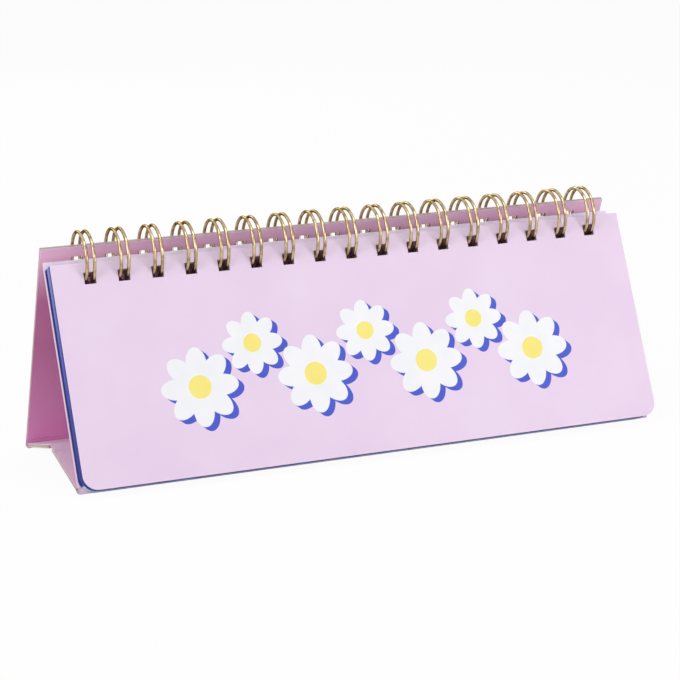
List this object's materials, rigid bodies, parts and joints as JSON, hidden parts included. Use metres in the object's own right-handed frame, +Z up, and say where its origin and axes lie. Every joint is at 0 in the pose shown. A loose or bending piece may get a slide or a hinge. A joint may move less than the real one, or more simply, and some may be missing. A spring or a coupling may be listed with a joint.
{
  "type": "desk weekly planner",
  "caption": "Desk planner on a folding card easel: week leaves and a cover card turn over on a row of double wire loops, and the easel's base folds up inside it.",
  "frame": {"origin": "on the desk, under the middle of the planner's bounding box", "axes": "+X along the binding to the right seen from the front, +Y from the cover towards the back board, +Z up"},
  "size_m": [0.2314, 0.083, 0.0896],
  "materials": {
    "grey_board": "raw grey board, cut edges left bare",
    "face_paper": "matt pink printed paper",
    "lining_paper": "matt deeper pink lining paper",
    "fold_paper": "matt pink paper at the folds",
    "gold_wire": "bright gold coloured wire",
    "leaf_paper": "white paper printed blue to its edges",
    "cover_card": "smooth lilac card"
  },
  "bodies": {
    "stand_front": {"front_core": "grey_board", "front_face_paper": "face_paper", "front_lining_paper": "lining_paper", "front_fold": "fold_paper", "binding_wire": "gold_wire"},
    "back_panel": {"back_core": "grey_board", "back_lining_paper": "lining_paper", "back_face_paper": "face_paper", "rear_fold": "fold_paper"},
    "base_front": {"base_front_core": "grey_board", "base_front_top_paper": "lining_paper", "base_front_under_paper": "face_paper", "ridge_tape": "fold_paper"},
    "base_rear": {"base_rear_core": "grey_board", "base_rear_top_paper": "lining_paper", "base_rear_under_paper": "face_paper"},
    "later_leaves": {"leaves_fourth_quarter": "leaf_paper", "leaves_third_quarter": "leaf_paper", "leaves_second_quarter": "leaf_paper"},
    "first_leaves": {"leaves_first_quarter": "leaf_paper"},
    "cover": {"cover_card": "cover_card"}
  },
  "joints": [
    {"name": "easel_fold", "type": "hinge", "parent": "stand_front", "child": "back_panel", "pos_m": [0, -0.00438, 0.07923], "axis": [-1, 0, 0], "range_deg": [0, 30]},
    {"name": "base_front_fold", "type": "hinge", "parent": "stand_front", "child": "base_front", "pos_m": [0, -0.0318, 0.00175], "axis": [1, 0, 0], "range_deg": [0, 52.5]},
    {"name": "base_rear_fold", "type": "hinge", "parent": "back_panel", "child": "base_rear", "pos_m": [0, 0.03932, 0.00175], "axis": [-1, 0, 0], "range_deg": [0, 50.5]},
    {"name": "later_leaves_turn", "type": "hinge", "parent": "stand_front", "child": "later_leaves", "pos_m": [0, -0.00484, 0.07942], "axis": [-1, 0, 0], "range_deg": [0, 180]},
    {"name": "first_leaves_turn", "type": "hinge", "parent": "later_leaves", "child": "first_leaves", "pos_m": [0, -0.00484, 0.07942], "axis": [-1, 0, 0], "range_deg": [0, 180]},
    {"name": "cover_turn", "type": "hinge", "parent": "first_leaves", "child": "cover", "pos_m": [0, -0.00484, 0.07942], "axis": [-1, 0, 0], "range_deg": [0, 180]}
  ],
  "couplings": [
    {"joint": "base_front_fold", "follows": "easel_fold", "ratio": 1.742},
    {"joint": "base_rear_fold", "follows": "easel_fold", "ratio": 1.668}
  ]
}
